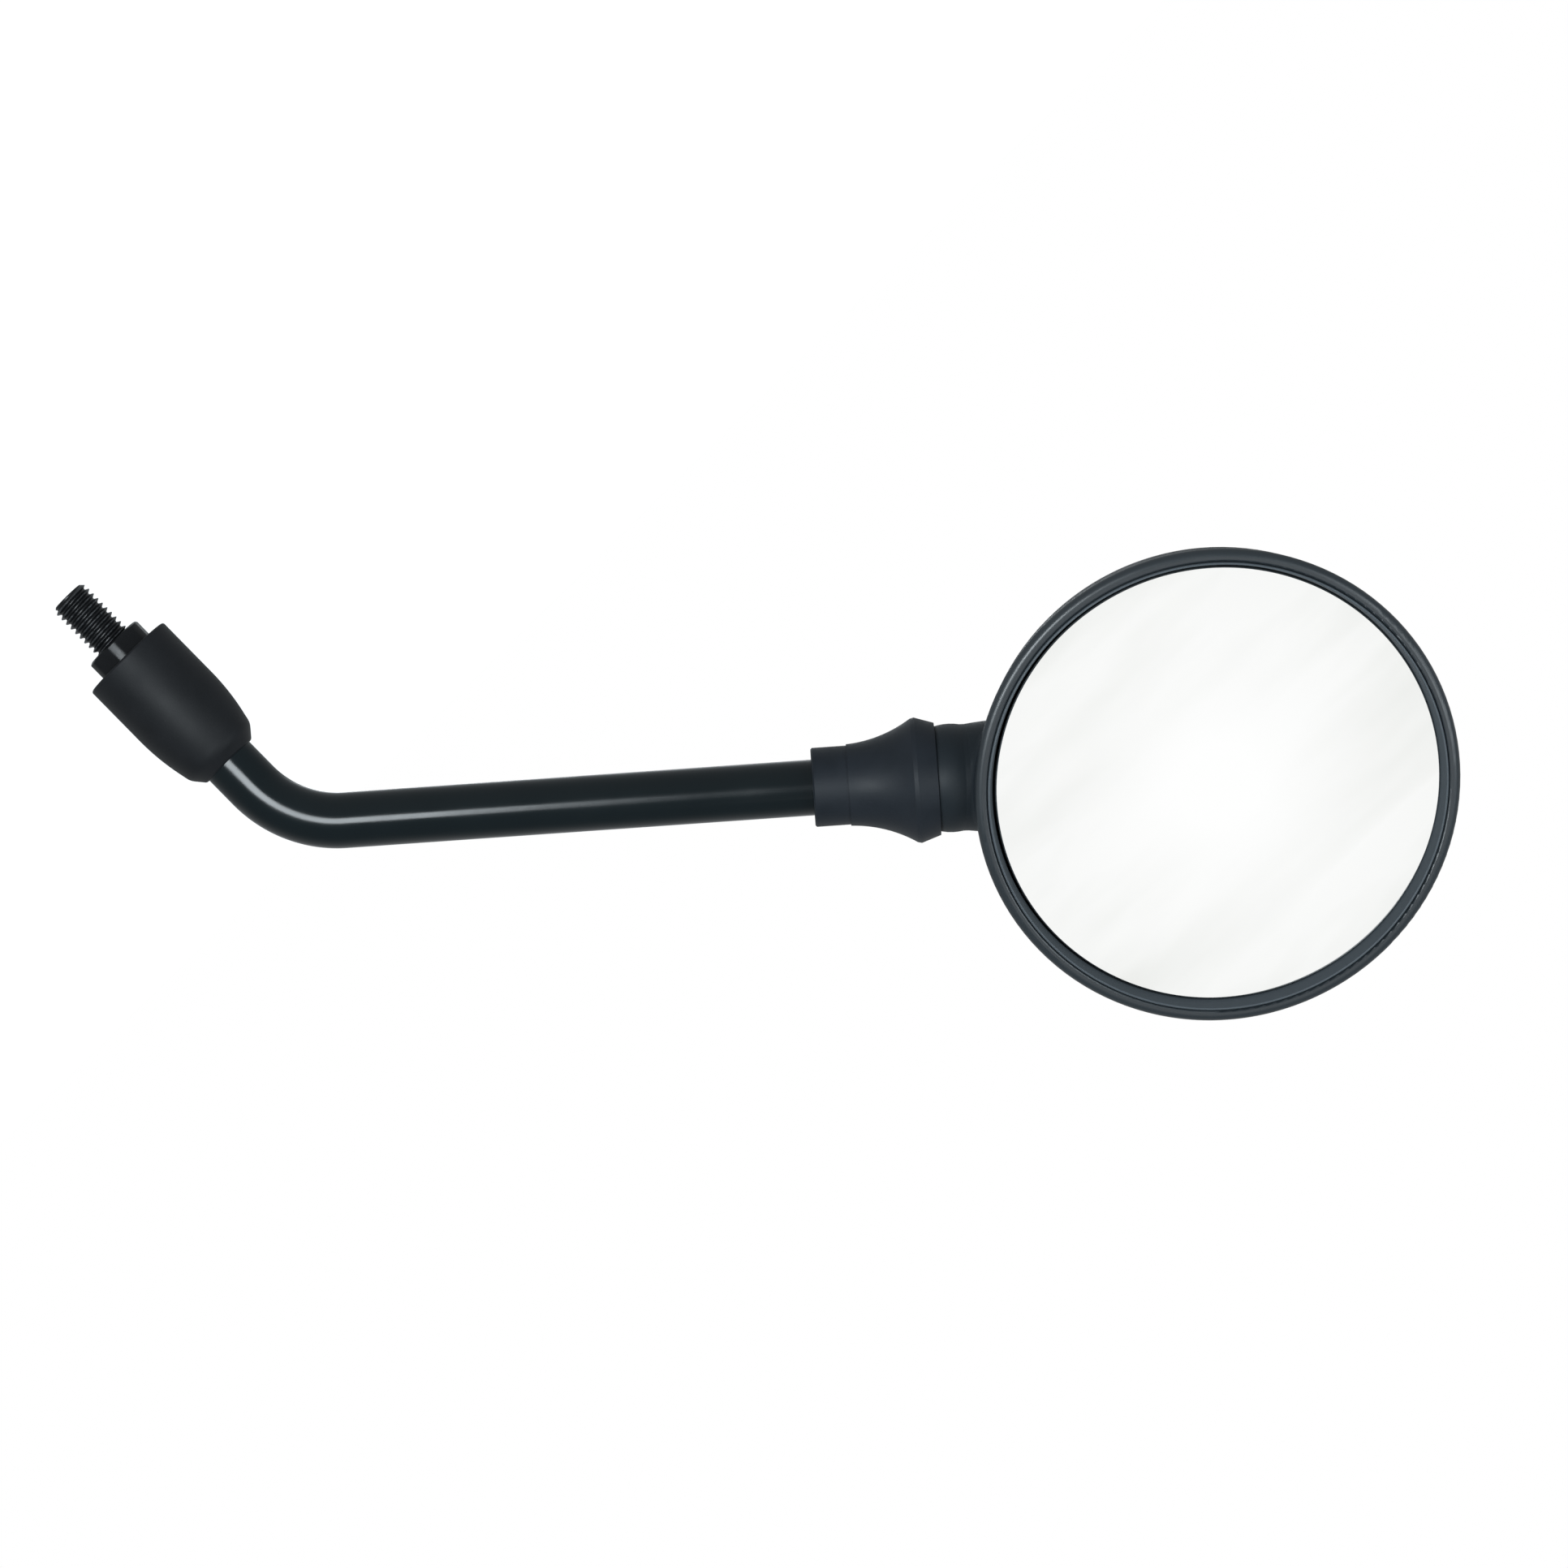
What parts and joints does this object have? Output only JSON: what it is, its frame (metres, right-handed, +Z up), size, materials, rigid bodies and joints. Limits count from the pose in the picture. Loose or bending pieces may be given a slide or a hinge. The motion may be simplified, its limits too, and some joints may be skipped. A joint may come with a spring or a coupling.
{
  "type": "motorcycle mirror",
  "caption": "Round rear-view mirror on a bent tubular stem with a threaded stud, a lock nut and rubber boots; its head turns on a ball joint.",
  "frame": {"origin": "on the stud's axis, at the lock nut's outer face, which seats on the handlebar perch", "axes": "+Z up along the stud into the stem, as mounted on the bike; the mirror faces -Y, towards the rider; the stem leans to -X, so this is the left-hand mirror"},
  "size_m": [0.1889, 0.0411, 0.227],
  "materials": {
    "black_steel": "satin",
    "black_paint": "gloss",
    "rubber": "matte",
    "bright_steel": "satin",
    "nylon": "matte",
    "black_plastic": "satin",
    "mirror": "polished",
    "foam": "matte"
  },
  "bodies": {
    "stem": {"threaded_stud": "black_steel", "lock_nut": "black_steel", "stem_tube": "black_paint", "ball_pin": "bright_steel", "joint_boot": "rubber"},
    "lower_boot": {"base_boot": "rubber"},
    "joint_ring": {"seat_ring": "nylon"},
    "joint_cup": {"ball_cup": "nylon", "thrust_washer": "bright_steel", "joint_spring": "bright_steel"},
    "head": {"rear_housing": "black_plastic", "spring_bracket": "bright_steel", "bracket_screws": "bright_steel", "mirror_glass": "mirror", "glass_pad": "foam", "bezel_ring": "black_plastic"}
  },
  "joints": [
    {"name": "head_tilt", "type": "hinge", "parent": "stem", "child": "joint_ring", "pos_m": [-0.0971, 0, 0.13204], "axis": [0, 1, 0], "range_deg": [-16.4, 13.6]},
    {"name": "head_swing", "type": "hinge", "parent": "joint_ring", "child": "joint_cup", "pos_m": [-0.0971, 0, 0.13204], "axis": [-0.6678, 0, -0.7443], "range_deg": [-19.3, 10.7]},
    {"name": "head_spin", "type": "hinge", "parent": "joint_cup", "child": "head", "pos_m": [-0.0971, 0, 0.13204], "axis": [-0.7422, 0.075, 0.666], "continuous": true},
    {"name": "boot_slide", "type": "slide", "parent": "stem", "child": "lower_boot", "axis": [0, 0, 1], "range_m": [-0.0039, 0.006]}
  ]
}
